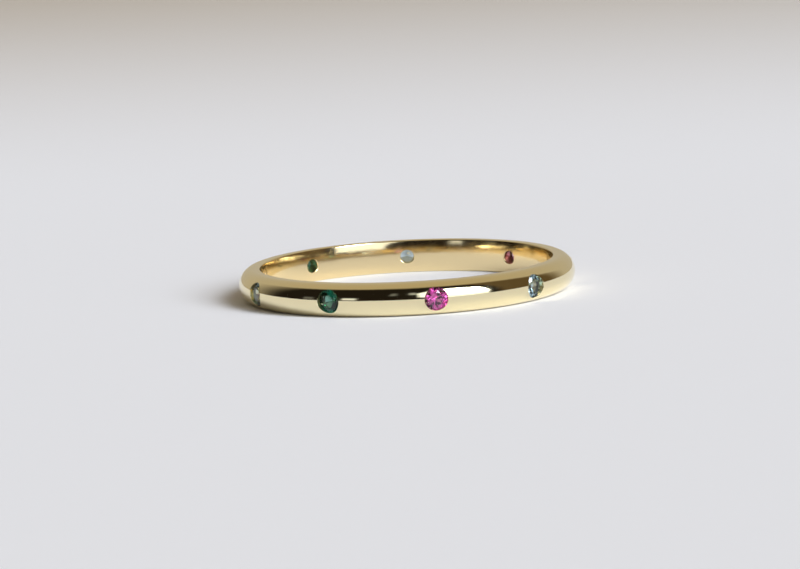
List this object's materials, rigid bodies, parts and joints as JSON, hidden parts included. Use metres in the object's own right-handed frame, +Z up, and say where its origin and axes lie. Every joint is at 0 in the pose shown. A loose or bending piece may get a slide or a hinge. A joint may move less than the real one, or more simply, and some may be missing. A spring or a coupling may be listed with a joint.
{
  "type": "birthstone ring",
  "caption": "Slim half-round gold finger ring, set flush all the way round with small round green, pink and pale blue cut stones.",
  "frame": {"origin": "centre of the finger hole, on the plane of the flat side rim that the ring lies on", "axes": "+Z up along the ring's axis; -Y towards the front of the picture's view, +X to its right"},
  "size_m": [0.02, 0.02, 0.0019],
  "materials": {
    "gold": "polished",
    "green_stone": "polished",
    "pink_stone": "polished",
    "blue_stone": "polished"
  },
  "bodies": {
    "root": {"band": "gold", "stone_green_1": "green_stone", "stone_green_2": "green_stone", "stone_green_3": "green_stone", "stone_pink_1": "pink_stone", "stone_pink_2": "pink_stone", "stone_pink_3": "pink_stone", "stone_blue_1": "blue_stone", "stone_blue_2": "blue_stone", "stone_blue_3": "blue_stone"}
  },
  "joints": []
}
